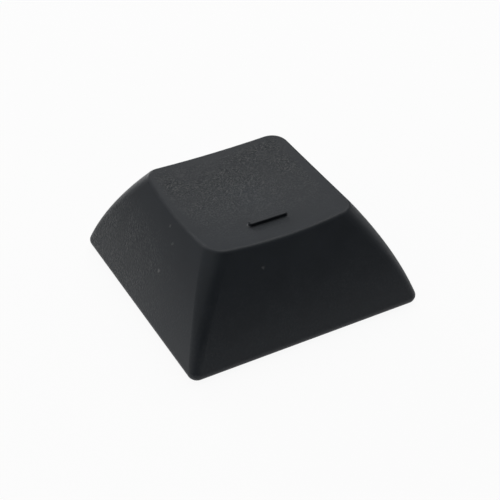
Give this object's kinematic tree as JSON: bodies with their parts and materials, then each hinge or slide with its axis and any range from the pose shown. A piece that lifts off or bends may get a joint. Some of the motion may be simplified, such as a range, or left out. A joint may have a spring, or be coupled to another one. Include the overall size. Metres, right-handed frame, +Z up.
{
  "type": "keycap",
  "caption": "Blank low keycap with a square rim, bowed sides, a shallow dished top, a raised homing bar near its front edge, and a stem with a cross socket in the hollow underneath.",
  "frame": {"origin": "middle of the square rim, on the plane that the cap rests on", "axes": "+Z up through the dished top, -Y to the front edge with the homing bar, +X to the right"},
  "size_m": [0.018, 0.018, 0.0074],
  "materials": {
    "cap": "black moulded plastic with a fine matt grain"
  },
  "bodies": {
    "root": {"keycap": "cap"}
  },
  "joints": []
}
